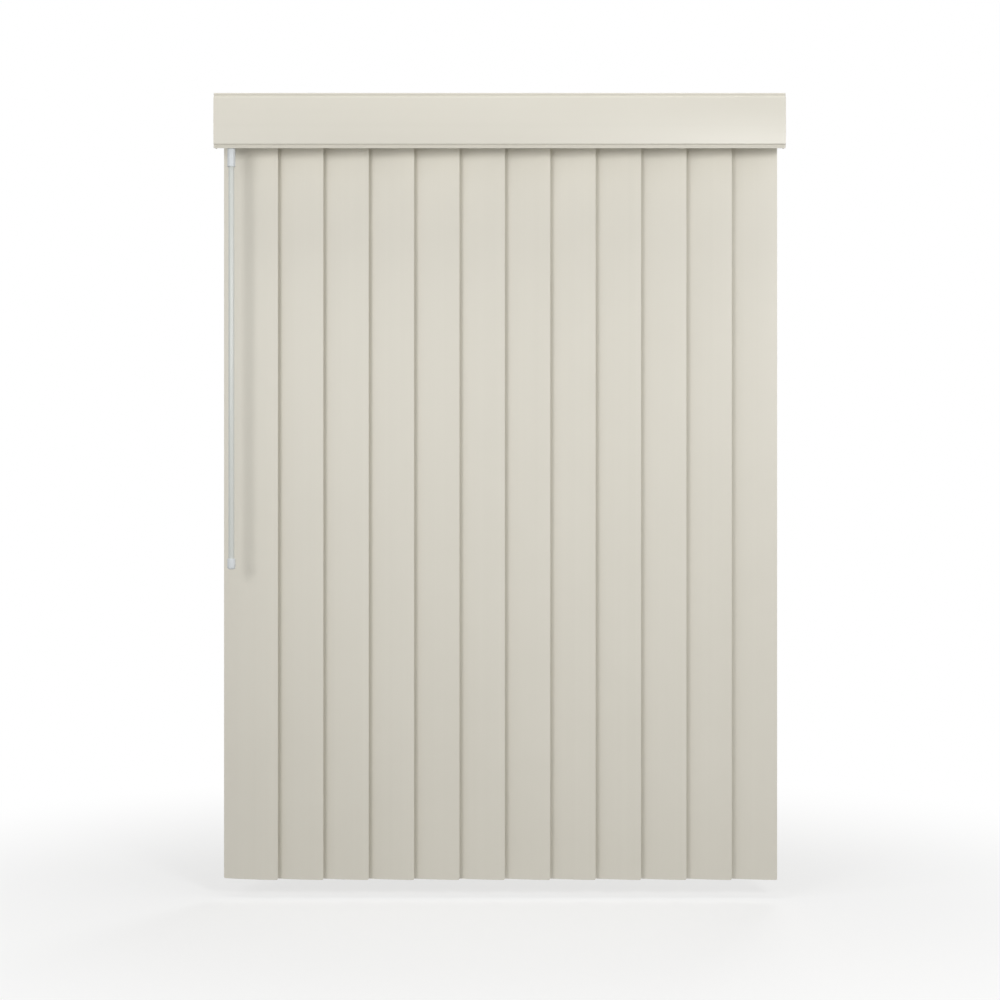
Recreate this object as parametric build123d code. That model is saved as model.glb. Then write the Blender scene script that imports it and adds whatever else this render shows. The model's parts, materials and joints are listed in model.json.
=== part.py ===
from build123d import *
import math
import os

os.makedirs("parts", exist_ok=True)

# Driving dimensions, in millimetres and degrees; depths are measured down from the mounting plane
# Vanes
vane_count = 12
vane_width = 89.0
vane_thickness = 0.8
vane_bow = 2.0
vane_pitch = 72.0
vane_head_depth = 50.0
vane_foot_depth = 1237.7
vane_corner = 2.5
closed_angle = 10.0
slot_width = 14.0
slot_height = 5.0
slot_drop = 7.0

# Fits
running_clearance = 0.06
thrust_gap = 0.2
slide_gap = 0.3
glue_gap = 0.02

# Headrail
rail_depth = 5.0
rail_width = 40.0
rail_height = 26.0
rail_wall = 1.2
rail_slot = 24.0
flange_reach = 2.0
flange_thickness = 1.6
rail_end_margin = 42.6

# End caps
cap_thickness = 2.4
spigot_length = 8.0
spigot_wall = 1.6
boss_radius = 4.5

# Tilt rod and worm gearing
rod_radius = 2.5
rod_root_radius = 2.0
rod_lobes = 6
rod_depth = 20.0
journal_radius = 2.0
journal_length = 5.0
spline_clearance = 0.12
wheel_teeth = 9
module_size = 0.9
worm_pitch_radius = 4.6
worm_turns = 3
wheel_face = 3.0
addendum = 0.8
dedendum = 1.1
flank_angle = 20.0
tooth_share = 0.31
thread_sink = 0.3

# Carriers
stack_pitch = 15.0
stack_gap = 0.6
carrier_depth = 12.5
carrier_side_gap = 0.6
neck_side_gap = 0.6
neck_drop = 2.5
plate_thickness = 2.0
stem_bore_radius = 5.16
pocket_gap = 0.4

# Spacer links
link_lanes = 6
link_lane_pitch = 4.8
link_width = 3.6
link_thickness = 0.8
link_depth = 8.2
link_post = 3.0
link_overrun = 3.0

# Hangers
head_radius = 3.3
head_height = 1.5
stem_journal_radius = 2.5
stem_core_radius = 2.8
collar_depth = 26.6
collar_foot_gap = 0.6
stem_neck_radius = 3.6
clip_depth = 41.0
clip_width = 12.0
clip_plate = 1.0
clip_gap = 0.2
clip_front_reach = 18.0
clip_back_reach = 12.5
clip_corner = 2.0
peg_width = 10.0
peg_height = 3.0
peg_gap = 0.15
peg_end_gap = 0.05

# Wand drive on the lead carrier
wand_offset = 23.0
wand_front = 52.5
cross_depth = 34.0
cross_radius = 2.0
helical_teeth = 8
helical_face = 6.0
helical_steps = 5
bevel_teeth = 10
bevel_radius = 5.0
bevel_small_share = 0.52
drive_addendum = 0.8
drive_dedendum = 1.1
drive_tooth_share = 0.27
sleeve_wall = 1.1
case_wall = 1.2
case_gap = 0.5
case_rail_gap = 0.6
case_bridge_depth = 26.0
case_bridge_overlap = 1.5
hub_height = 3.6
hub_radius = 3.8
rear_journal = 0.9

# Wand
stub_radius = 2.8
eye_depth = 62.2
eye_thickness = 3.0
eye_shoulder = 8.0
pin_radius = 1.5
fork_gap = 0.3
fork_ear = 2.4
fork_ear_radius = 3.2
fork_drop = 6.8
sleeve_radius = 6.2
sleeve_foot_depth = 114.4
sleeve_bore_depth = 22.0
wand_radius = 4.5
tip_head_depth = 726.2
tip_foot_depth = 743.0
tip_bore_depth = 9.0
wand_rounding = 0.8
tip_rounding = 3.2

# Mounting brackets
bracket_spacing = 600.0
bracket_length = 36.0
bracket_thickness = 1.2
bracket_side_gap = 0.2
bracket_hook = 2.0
screw_spacing = 24.0
screw_radius = 2.25

# Valance
valance_overhang = 4.2
valance_height = 86.0
valance_drop = 1.0
valance_front = 66.0
valance_wall = 1.8
valance_crown = 1.5
valance_step = 2.0
valance_band = 6.5
valance_return = 30.0
valance_return_radius = 5.0
valance_edge_radius = 0.9
valance_lip_radius = 0.5
rib_end = 8.0
rib_inset = 9.5
rib_thickness = 1.2
rib_gap = 1.2
rib_lip = 2.4

# Valance clips
valance_clip_spacing = 210.0
valance_clip_count = 3
valance_clip_length = 22.0
valance_clip_plate = 1.0
valance_clip_wall = 1.4
valance_clip_finger = 5.0
valance_clip_arm_depth = 20.0
valance_clip_end_gap = 0.3

# Derived positions
first_x = -vane_pitch * (vane_count - 1) / 2
vane_axes = [first_x + vane_pitch * n for n in range(vane_count)]
rail_half = rail_width / 2
rail_inner = rail_half - rail_wall
rail_floor = rail_depth + rail_height
lip_top = rail_floor - rail_wall
rail_end = -first_x + rail_end_margin
cap_end = rail_end + cap_thickness
wheel_radius = module_size * wheel_teeth / 2
worm_lead = math.pi * module_size
worm_length = worm_lead * worm_turns
worm_root = worm_pitch_radius - dedendum
worm_tip = worm_pitch_radius + addendum
rod_y = wheel_radius + worm_pitch_radius
carrier_length = stack_pitch - stack_gap
carrier_foot = lip_top - slide_gap
neck_foot = carrier_foot + neck_drop
wand_x = first_x - wand_offset
helical_radius = (cross_depth - rod_depth) / 2
valance_width = 2 * (cap_end + valance_overhang)
valance_seat = valance_crown + valance_wall
valance_back = valance_front - valance_seat
valance_shelf = valance_crown + valance_step
valance_top = -valance_drop
valance_foot = valance_top - valance_height
valance_high = valance_top - valance_band
valance_low = valance_foot + valance_band
valance_middle = (valance_top + valance_foot) / 2


def block(x0, x1, y0, y1, z0, z1):
    middle = Pos((x0 + x1) / 2, (y0 + y1) / 2, (z0 + z1) / 2)
    return middle * Box(abs(x1 - x0), abs(y1 - y0), abs(z1 - z0))


def round_x(radius, x0, x1, y, z):
    return Pos((x0 + x1) / 2, y, z) * Rot(0, 90, 0) * Cylinder(radius, abs(x1 - x0))


def round_y(radius, y0, y1, x, z):
    return Pos(x, (y0 + y1) / 2, z) * Rot(90, 0, 0) * Cylinder(radius, abs(y1 - y0))


def round_z(radius, z0, z1, x, y):
    return Pos(x, y, (z0 + z1) / 2) * Cylinder(radius, abs(z1 - z0))


def polygon(points):
    return make_face(Polyline(*points, close=True))


def polar(radius, angle):
    return (radius * math.cos(angle), radius * math.sin(angle))


def gear_points(teeth, pitch_radius, above, below, thick_share, turn, scale=1.0):
    half = math.pi * pitch_radius * thick_share / teeth
    slope = math.tan(math.radians(flank_angle))
    root = pitch_radius - below
    tip = pitch_radius + above
    points = []
    for tooth in range(teeth):
        middle = 2 * math.pi * tooth / teeth + math.radians(turn)
        for radius, side in ((root, -1), (tip, -1), (tip, 1), (root, 1)):
            reach = (half - (radius - pitch_radius) * slope) / radius
            points.append(polar(radius * scale, middle + side * reach))
    return points


def star_points(outer, inner):
    step = math.pi / rod_lobes
    return [polar(inner if n % 2 else outer, n * step) for n in range(2 * rod_lobes)]


def prism_x(points, x0, x1):
    plane = Plane(origin=(x0, 0, 0), x_dir=(0, 1, 0), z_dir=(1, 0, 0))
    return extrude(plane * polygon(points), x1 - x0)


def spline(outer, inner, x0, x1):
    return Pos(0, rod_y, -rod_depth) * prism_x(star_points(outer, inner), x0, x1)


# A helical gear about Z, middle plane at zero, left-handed at 45 degrees
def helical_gear(turn):
    sections = []
    for step in range(helical_steps):
        z = helical_face * (step / (helical_steps - 1) - 0.5)
        lag = math.degrees(z / helical_radius)
        points = gear_points(
            helical_teeth, helical_radius, drive_addendum, drive_dedendum, drive_tooth_share, turn - lag
        )
        sections.append(Plane.XY.offset(z) * polygon(points))
    return loft(sections, ruled=True)


# A mitre gear about Z, with the apex of its pitch cone at zero
def bevel_gear(turn):
    sections = []
    for scale in (1.0, bevel_small_share):
        points = gear_points(
            bevel_teeth, bevel_radius, drive_addendum, drive_dedendum, drive_tooth_share, turn, scale
        )
        sections.append(Plane.XY.offset(bevel_radius * scale) * polygon(points))
    return loft(sections, ruled=True)


# Vane: a bowed strip that hangs by a punched slot
def vane(x):
    half = vane_width / 2
    radius = (half * half + vane_bow * vane_bow) / (2 * vane_bow)
    front = radius + vane_thickness / 2
    back = radius - vane_thickness / 2
    swing = math.asin(half / radius)
    left = -math.pi / 2 - swing
    right = -math.pi / 2 + swing
    outline = [
        ThreePointArc(polar(front, left), (0, -front), polar(front, right)),
        Line(polar(front, right), polar(back, right)),
        ThreePointArc(polar(back, right), (0, -back), polar(back, left)),
        Line(polar(back, left), polar(front, left)),
    ]
    length = vane_foot_depth - vane_head_depth
    band = extrude(make_face(outline), -length)
    corners = [edge for edge in band.edges() if edge.length < 2 * vane_thickness]
    band = fillet(corners, vane_corner)
    hole = SlotOverall(slot_width, slot_height)
    hole_z = -slot_drop - slot_height / 2
    punch = Pos(0, -radius, hole_z) * Rot(90, 0, 0) * extrude(hole, vane_width, both=True)
    shape = Pos(0, radius, 0) * (band - punch)
    return Pos(x, 0, -vane_head_depth) * Rot(0, 0, -closed_angle) * shape


# Hanger: snap head, journal, worm wheel, collar and the clip that holds the vane
def hanger(x):
    head_z = -carrier_depth + thrust_gap
    stem = round_z(head_radius, head_z, head_z + head_height, 0, 0)
    plate_foot = -carrier_depth - plate_thickness
    stem += round_z(stem_journal_radius, head_z, plate_foot - thrust_gap, 0, 0)
    stem += round_z(stem_core_radius, plate_foot - thrust_gap, -collar_depth, 0, 0)
    teeth = polygon(gear_points(wheel_teeth, wheel_radius, addendum, dedendum, tooth_share, 90))
    stem += Pos(0, 0, -rod_depth - wheel_face / 2) * extrude(teeth, wheel_face)
    collar_foot = -neck_foot - collar_foot_gap
    stem += round_z(stem_bore_radius - running_clearance, -collar_depth, collar_foot, 0, 0)
    stem += round_z(stem_neck_radius, collar_foot, -clip_depth, 0, 0)
    half = clip_width / 2
    near = vane_thickness / 2 + clip_gap
    far = near + clip_plate
    bridge = -vane_head_depth + clip_gap
    yoke = block(-half, half, -far, far, bridge, -clip_depth)
    yoke += round_z(stem_neck_radius, bridge + clip_plate, -clip_depth, 0, 0)
    front = RectangleRounded(clip_width, clip_front_reach + clip_corner, clip_corner)
    front = Rot(90, 0, 0) * extrude(front, clip_plate)
    front_z = bridge - (clip_front_reach - clip_corner) / 2
    yoke += Pos(0, -near, front_z) * front
    back = RectangleRounded(clip_width, clip_back_reach + clip_corner, clip_corner)
    back = Rot(90, 0, 0) * extrude(back, clip_plate)
    back_z = bridge - (clip_back_reach - clip_corner) / 2
    yoke += Pos(0, far, back_z) * back
    peg_top = -vane_head_depth - slot_drop - peg_gap
    peg_half = peg_width / 2
    peg_end = near - peg_end_gap
    yoke += block(-peg_half, peg_half, -far, peg_end, peg_top - peg_height, peg_top)
    return Pos(x, 0, 0) * (stem + Rot(0, 0, -closed_angle) * yoke)


# Worm: one right-handed thread on a splined barrel
def worm(x):
    half = worm_lead * tooth_share / 2
    slope = math.tan(math.radians(flank_angle))
    foot = half + (dedendum + thread_sink) * slope
    crest = half - addendum * slope
    height = worm_tip - worm_root
    path = Helix(worm_lead, worm_length, worm_root)
    plane = Plane(origin=path @ 0, x_dir=(1, 0, 0), z_dir=path % 0)
    tooth = [(-thread_sink, -foot), (height, -crest), (height, crest), (-thread_sink, foot)]
    thread = sweep(plane * polygon(tooth), path=path, is_frenet=True)
    middle = Pos(0, 0, worm_length / 2)
    barrel = middle * Cylinder(worm_root, worm_length) + thread
    barrel = barrel & (middle * Cylinder(2 * worm_tip, worm_length))
    barrel = Rot(0, 90, 0) * Rot(0, 0, -90) * Pos(0, 0, -worm_length / 2) * barrel
    return Pos(x, rod_y, -rod_depth) * barrel


def bored(shape, x0, x1):
    outer = rod_radius + spline_clearance
    inner = rod_root_radius + spline_clearance
    return shape - spline(outer, inner, x0, x1)


# Lead worm: its barrel goes on as a sleeve to the helical drive gear
def lead_worm(x):
    near = x - worm_length / 2
    far = wand_x - helical_face / 2
    tube = rod_radius + spline_clearance + sleeve_wall
    shape = worm(x) + round_x(tube, far, near + thread_sink, rod_y, -rod_depth)
    gear = Pos(wand_x, rod_y, -rod_depth) * Rot(0, 90, 0) * helical_gear(180 / helical_teeth)
    return bored(shape + gear, far - rod_radius, x + worm_length)


# Carrier: sliding housing with the stem bore, the worm pocket and a spacer link
def carrier(x, number):
    half = carrier_length / 2
    side = rail_inner - carrier_side_gap
    neck = rail_slot / 2 - neck_side_gap
    shape = block(x - half, x + half, -side, side, -carrier_foot, -carrier_depth)
    shape += block(x - half, x + half, -neck, neck, -neck_foot, -carrier_foot)
    plate_foot = -carrier_depth - plate_thickness
    shape -= round_z(stem_bore_radius, -neck_foot - neck_drop, plate_foot, x, 0)
    journal = stem_journal_radius + running_clearance
    shape -= round_z(journal, plate_foot - thrust_gap, -carrier_depth + plate_thickness, x, 0)
    pocket = worm_tip + pocket_gap
    reach = worm_length / 2 + thrust_gap
    shape -= round_x(pocket, x - reach, x + reach, rod_y, -rod_depth)
    low = -rod_depth - pocket
    shape -= block(x - reach, x + reach, rod_y, rail_half, low, low + 2 * pocket)
    rod_hole = rod_radius + spline_clearance + pocket_gap
    shape -= round_x(rod_hole, x - carrier_length, x + carrier_length, rod_y, -rod_depth)
    if number == 1:
        return lead_carrier(shape, x)
    return shape + spacer_link(x, number)


# Spacer link: a strip above the carriers that reaches back to the one before
def spacer_link(x, number):
    lane = number % link_lanes - (link_lanes - 1) / 2
    y0 = lane * link_lane_pitch - link_width / 2
    y1 = y0 + link_width
    right = x + carrier_length / 2 - stack_gap
    left = x - vane_pitch - link_overrun
    strip = block(left, right, y0, y1, -link_depth - link_thickness, -link_depth)
    post = block(right - link_post, right, y0, y1, -carrier_depth, -link_depth)
    return strip + post


# Lead carrier: the housing carries a gear case for the wand drive under the headrail
def lead_carrier(shape, x):
    tube = rod_radius + spline_clearance + sleeve_wall + pocket_gap
    left = x - carrier_length
    shape -= round_x(tube, left, x, rod_y, -rod_depth)
    shape -= block(left, x - worm_length / 2, rod_y, rail_half, -rod_depth - tube, -rod_depth + tube)
    gear_tip = helical_radius + drive_addendum
    room = gear_tip + case_gap
    wall = room + case_wall
    rear_room = rod_y + helical_face / 2 + case_gap
    rear = rear_room + case_wall
    roof = -rail_floor - case_rail_gap
    floor = -cross_depth - room
    base = floor - case_wall
    bevel_room = bevel_radius + drive_addendum + case_gap
    front = -wand_front - bevel_room - case_wall
    case = block(wand_x - wall, wand_x + wall, front, rear, base, roof)
    narrow = bevel_room + case_wall
    nose_back = -wand_front + bevel_room + case_wall
    nose_roof = -cross_depth + bevel_room + case_wall
    case += block(wand_x - narrow, wand_x + narrow, front, nose_back, base, nose_roof)
    bridge_left = wand_x + room + case_wall - case_bridge_overlap
    bridge_right = x - carrier_length / 2 + case_bridge_overlap
    neck = rail_slot / 2 - neck_side_gap
    case += block(bridge_left, bridge_right, -neck, neck, base, -case_bridge_depth)
    bridge_bore = stem_bore_radius + case_wall
    case -= round_z(bridge_bore, base, -neck_foot, x, 0)
    gear_front = rod_y - helical_face / 2 - case_gap
    case -= block(wand_x - room, wand_x + room, gear_front, rear_room, floor, roof + room)
    cross_bore = cross_radius + running_clearance
    case -= round_y(cross_bore, -wand_front, rear, wand_x, -cross_depth)
    case -= block(
        wand_x - bevel_room,
        wand_x + bevel_room,
        -wand_front - bevel_room,
        -wand_front + bevel_room,
        stub_floor(),
        nose_roof - case_wall,
    )
    case -= round_z(stub_radius + running_clearance, base, -cross_depth, wand_x, -wand_front)
    return shape + case


def stub_floor():
    return -cross_depth - bevel_radius - hub_height - thrust_gap


# Cross shaft: takes the wand's turn back to the tilt rod
def cross_shaft():
    rear = rod_y + helical_face / 2 + case_gap + rear_journal
    shaft = round_y(cross_radius, -wand_front + bevel_radius, rear, wand_x, -cross_depth)
    shaft += Pos(wand_x, rod_y, -cross_depth) * Rot(-90, 0, 0) * helical_gear(270)
    shaft += Pos(wand_x, -wand_front, -cross_depth) * Rot(-90, 0, 0) * bevel_gear(90)
    return shaft


# Wand stub: mitre gear above, flat eye below
def wand_stub():
    half_tooth = 180 / bevel_teeth
    gear = Rot(180, 0, 0) * bevel_gear(270 + half_tooth)
    shape = Pos(wand_x, -wand_front, -cross_depth) * gear
    hub_top = -cross_depth - bevel_radius
    shape += round_z(hub_radius, hub_top - hub_height, hub_top, wand_x, -wand_front)
    shoulder = -eye_depth + eye_shoulder
    shape += round_z(stub_radius, shoulder, hub_top, wand_x, -wand_front)
    near = -wand_front - eye_thickness / 2
    far = -wand_front + eye_thickness / 2
    shape += block(wand_x - stub_radius, wand_x + stub_radius, near, far, -eye_depth, shoulder)
    shape += round_y(stub_radius, near, far, wand_x, -eye_depth)
    hole = pin_radius + running_clearance
    return shape - round_y(hole, near - hole, far + hole, wand_x, -eye_depth)


# Wand sleeve: fork and pin above, socket for the rod below
def wand_sleeve():
    top = -eye_depth - fork_drop
    body = round_z(sleeve_radius, -sleeve_foot_depth, top, wand_x, -wand_front)
    body = fillet(body.edges().filter_by(GeomType.CIRCLE), wand_rounding)
    socket = wand_radius + glue_gap
    body -= round_z(socket, -sleeve_foot_depth, -sleeve_foot_depth + sleeve_bore_depth, wand_x, -wand_front)
    inner = eye_thickness / 2 + fork_gap
    outer = inner + fork_ear
    for side in (-1, 1):
        y0 = -wand_front + side * inner
        y1 = -wand_front + side * outer
        left = wand_x - fork_ear_radius
        right = wand_x + fork_ear_radius
        ear = block(left, right, y0, y1, top - wand_rounding, -eye_depth)
        body += ear + round_y(fork_ear_radius, y0, y1, wand_x, -eye_depth)
    return body + round_y(pin_radius, -wand_front - outer, -wand_front + outer, wand_x, -eye_depth)


def wand_rod():
    top = -sleeve_foot_depth + sleeve_bore_depth - thrust_gap
    foot = -tip_head_depth - tip_bore_depth + thrust_gap
    return round_z(wand_radius, foot, top, wand_x, -wand_front)


def wand_tip():
    body = round_z(sleeve_radius, -tip_foot_depth, -tip_head_depth, wand_x, -wand_front)
    rims = body.edges().filter_by(GeomType.CIRCLE).sort_by(Axis.Z)
    body = fillet(rims[0], tip_rounding)
    rims = body.edges().filter_by(GeomType.CIRCLE).sort_by(Axis.Z)
    body = fillet(rims[-1], wand_rounding)
    socket = wand_radius + glue_gap
    bore_foot = -tip_head_depth - tip_bore_depth
    return body - round_z(socket, bore_foot, -tip_head_depth, wand_x, -wand_front)


# Headrail: channel with a slot below and two flanges above
def headrail():
    inner = rail_half - rail_wall
    slot = rail_slot / 2
    flange = rail_half + flange_reach
    roof = -rail_depth
    shape = block(-rail_end, rail_end, -rail_half, rail_half, -rail_floor, roof)
    shape += block(-rail_end, rail_end, -flange, flange, roof - flange_thickness, roof)
    shape -= block(-cap_end, cap_end, -inner, inner, -lip_top, roof - rail_wall)
    return shape - block(-cap_end, cap_end, -slot, slot, -rail_floor - rail_wall, -lip_top)


# End cap: plate, hollow spigot and the bearing of the tilt rod
def end_cap(side):
    flange = rail_half + flange_reach
    spigot = rail_inner - thrust_gap
    spigot_top = -rail_depth - rail_wall - thrust_gap
    spigot_foot = -lip_top + thrust_gap
    inside = rail_end - spigot_length
    shape = block(rail_end, cap_end, -rail_half, rail_half, -rail_floor, -rail_depth)
    shape += block(rail_end, cap_end, -flange, flange, -rail_depth - flange_thickness, -rail_depth)
    shape += block(inside, rail_end, -spigot, spigot, spigot_foot, spigot_top)
    hollow = spigot - spigot_wall
    shape -= block(inside, rail_end, -hollow, hollow, spigot_foot + spigot_wall, spigot_top - spigot_wall)
    shape += round_x(boss_radius, inside, rail_end, rod_y, -rod_depth)
    bore = journal_radius + running_clearance
    shape -= round_x(bore, inside, inside + journal_length + thrust_gap, rod_y, -rod_depth)
    if side < 0:
        return mirror(shape, about=Plane.YZ)
    return shape


def tilt_rod():
    shoulder = rail_end - spigot_length - thrust_gap
    end = shoulder + journal_length
    shape = spline(rod_radius, rod_root_radius, -shoulder, shoulder)
    return shape + round_x(journal_radius - thrust_gap, -end, end, rod_y, -rod_depth)


# Mounting bracket: spring clip over the flanges of the headrail
def bracket(x):
    half = bracket_length / 2
    inner = rail_half + flange_reach + bracket_side_gap
    outer = inner + bracket_thickness
    hook_top = -rail_depth - flange_thickness
    hook_foot = hook_top - bracket_thickness
    shape = block(x - half, x + half, -outer, outer, -bracket_thickness, 0)
    for side in (-1, 1):
        shape += block(x - half, x + half, side * inner, side * outer, hook_foot, 0)
        grip = inner - bracket_hook
        shape += block(x - half, x + half, side * grip, side * outer, hook_foot, hook_top)
        y = side * screw_spacing / 2
        shape -= round_z(screw_radius, -rail_depth, rail_depth, x, y)
    return shape


# Rounds the front edges of a valance section
def eased(section):
    nose = [v for v in section.vertices() if v.X < valance_crown + valance_step / 2]
    section = fillet(nose, valance_edge_radius)
    reach = valance_height / 2 - valance_lip_radius
    rims = [v for v in section.vertices() if abs(v.Y - valance_middle) > reach]
    rims = [v for v in rims if v.X < valance_shelf + 2 * valance_wall]
    return fillet(rims, valance_lip_radius)


# The crowned face, as distance behind its crown and height
def valance_face():
    return ThreePointArc((valance_crown, valance_low), (0, valance_middle), (valance_crown, valance_high))


# Section of the valance between its ends
def valance_section():
    shelf = valance_shelf
    deep = shelf + valance_wall
    under = valance_high - valance_wall
    over = valance_low + valance_wall
    upper_lip = [(shelf, valance_high), (shelf, valance_top), (deep, valance_top), (deep, under)]
    lower_lip = [(deep, over), (deep, valance_foot), (shelf, valance_foot), (shelf, valance_low)]
    outline = [
        Polyline((valance_crown, valance_high), *upper_lip, (valance_seat, under)),
        ThreePointArc((valance_seat, under), (valance_wall, valance_middle), (valance_seat, over)),
        Polyline((valance_seat, over), *lower_lip, (valance_crown, valance_low)),
        valance_face(),
    ]
    return eased(Sketch() + make_face(outline))


# Section of the flat return that closes each end
def return_section():
    upper = [(valance_crown, valance_high), (valance_shelf, valance_high), (valance_shelf, valance_top)]
    lower = [(valance_shelf, valance_foot), (valance_shelf, valance_low), (valance_crown, valance_low)]
    rear = [(valance_return, valance_top), (valance_return, valance_foot)]
    section = Sketch() + make_face([Polyline(*upper, *rear, *lower), valance_face()])
    corners = [v for v in section.vertices() if v.X > valance_return / 2]
    return eased(fillet(corners, valance_return_radius))


# Ribs behind the valance that take the clips
def valance_rib(z, toward):
    web = valance_seat + rib_gap + rib_thickness
    lip = valance_seat + rib_gap
    inner = z + toward * rib_thickness
    tongue = inner + toward * rib_lip
    points = [(valance_wall, z), (web, z), (web, tongue), (lip, tongue), (lip, inner), (valance_wall, inner)]
    return Sketch() + polygon(points)


# Plane across the valance, with its own X to the rear
def valance_plane(x):
    return Plane(origin=(x, -valance_front, 0), x_dir=(0, 1, 0), z_dir=(1, 0, 0))


def valance():
    half = valance_width / 2
    inner = half - valance_wall
    rib_half = half - rib_end
    bed = valance_plane(-rib_half)
    wing = extrude(valance_plane(-half) * return_section(), valance_wall)
    shape = extrude(valance_plane(-inner) * valance_section(), 2 * inner)
    shape += extrude(bed * valance_rib(valance_top - rib_inset, -1), 2 * rib_half)
    shape += extrude(bed * valance_rib(valance_foot + rib_inset, 1), 2 * rib_half)
    return shape + wing + mirror(wing, about=Plane.YZ)


# Valance clip: grips the front flange of the headrail and holds the valance by its ribs
def valance_clip(x):
    half = valance_clip_length / 2
    x0 = x - half
    x1 = x + half
    flange = -rail_half - flange_reach
    riser = flange - valance_clip_wall
    top = -rail_depth
    under = top - flange_thickness
    arm = -valance_clip_arm_depth
    shape = block(x0, x1, riser, flange + valance_clip_finger, top, top + valance_clip_wall)
    shape += block(x0, x1, riser, flange, arm, top + valance_clip_wall)
    shape += block(x0, x1, riser, -rail_half, under - valance_clip_wall, under)
    plate_back = -valance_back + valance_clip_plate
    shape += block(x0, x1, plate_back, flange, arm - valance_clip_wall, arm)
    tight = rib_thickness + valance_clip_end_gap
    plate_top = -valance_drop - rib_inset - tight
    plate_foot = -valance_drop - valance_height + rib_inset + tight
    return shape + block(x0, x1, -valance_back, plate_back, plate_foot, plate_top)


def save(shape, name):
    export_step(shape, f"parts/{name}.step")


# Repeated pieces
for order, axis in enumerate(vane_axes):
    number = order + 1
    label = f"{number:02d}"
    save(vane(axis), f"vane_{label}")
    save(hanger(axis), f"hanger_{label}")
    save(carrier(axis, number), f"carrier_{label}")
    if number == 1:
        save(lead_worm(axis), f"worm_{label}")
    else:
        save(bored(worm(axis), axis - worm_length, axis + worm_length), f"worm_{label}")

# Single pieces and groups of like fasteners
save(headrail(), "headrail")
save(end_cap(-1), "end_cap_left")
save(end_cap(1), "end_cap_right")
save(tilt_rod(), "tilt_rod")
save(bracket(-bracket_spacing / 2) + bracket(bracket_spacing / 2), "mounting_brackets")
save(valance(), "valance")
clip_first = -valance_clip_spacing * (valance_clip_count - 1) / 2
clips = Part() + [valance_clip(clip_first + n * valance_clip_spacing) for n in range(valance_clip_count)]
save(clips, "valance_clips")
save(cross_shaft(), "cross_shaft")
save(wand_stub(), "wand_stub")
save(wand_sleeve(), "wand_sleeve")
save(wand_rod(), "wand_rod")
save(wand_tip(), "wand_tip")
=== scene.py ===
"""A vertical blind: bowed vanes under a crowned valance, hung in a headrail and worked by a wand."""

import json
import logging
import math
from dataclasses import dataclass
from enum import Enum
from typing import Iterable, Mapping, Optional, Sequence

import bmesh
import bpy
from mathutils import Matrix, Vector

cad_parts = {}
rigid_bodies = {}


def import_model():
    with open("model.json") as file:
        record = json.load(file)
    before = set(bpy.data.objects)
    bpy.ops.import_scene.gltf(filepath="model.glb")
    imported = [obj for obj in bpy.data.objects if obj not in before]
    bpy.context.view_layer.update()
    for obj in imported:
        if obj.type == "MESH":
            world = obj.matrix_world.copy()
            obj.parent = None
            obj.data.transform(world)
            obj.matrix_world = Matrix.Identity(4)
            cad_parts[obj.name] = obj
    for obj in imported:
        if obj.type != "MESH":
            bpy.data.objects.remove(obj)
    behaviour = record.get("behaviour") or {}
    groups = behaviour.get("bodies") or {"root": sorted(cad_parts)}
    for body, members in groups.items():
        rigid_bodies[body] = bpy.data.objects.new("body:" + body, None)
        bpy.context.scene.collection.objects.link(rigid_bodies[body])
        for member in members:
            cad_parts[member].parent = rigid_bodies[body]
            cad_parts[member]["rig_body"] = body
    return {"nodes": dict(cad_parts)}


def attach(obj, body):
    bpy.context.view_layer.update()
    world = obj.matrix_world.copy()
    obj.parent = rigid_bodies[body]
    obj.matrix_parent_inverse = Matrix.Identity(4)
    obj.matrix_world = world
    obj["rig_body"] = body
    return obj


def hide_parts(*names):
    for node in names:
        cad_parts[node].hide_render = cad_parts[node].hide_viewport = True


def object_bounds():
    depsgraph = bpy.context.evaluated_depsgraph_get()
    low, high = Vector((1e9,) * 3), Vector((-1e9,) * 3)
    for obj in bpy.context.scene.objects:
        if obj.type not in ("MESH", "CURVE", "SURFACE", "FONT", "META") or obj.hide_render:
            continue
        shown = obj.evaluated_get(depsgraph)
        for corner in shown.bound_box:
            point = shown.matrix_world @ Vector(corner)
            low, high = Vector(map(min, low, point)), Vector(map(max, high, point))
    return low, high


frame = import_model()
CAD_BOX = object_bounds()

log = logging.getLogger("vertical_blind")

MM = 0.001
WELD = 1e-6
DUST = (0.52, 0.5, 0.46)
CLOUD_RANGE = (0.3, 0.7)
Colour = tuple[float, float, float]
Point = tuple[float, float]
Corner = tuple[float, float, float]


class Slot(Enum):
    """The record's material slots."""

    VANE = "vane_pvc"
    VALANCE = "valance_pvc"
    RAIL = "rail_aluminium"
    CAP = "cap_plastic"
    ROD = "rod_aluminium"
    BRACKET = "bracket_steel"
    CLIP = "clip_plastic"
    CARRIER = "carrier_acetal"
    GEAR = "gear_acetal"
    HANGER = "hanger_plastic"
    WAND = "wand_plastic"
    FITTING = "wand_fitting_plastic"


class Pull(Enum):
    """The way a strip left its die, as how often its fine lines repeat along X, Y and Z, per metre."""

    NONE = (0.0, 0.0, 0.0)
    UPRIGHT = (900.0, 900.0, 3.0)
    SIDEWAYS = (3.0, 900.0, 900.0)


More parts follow.
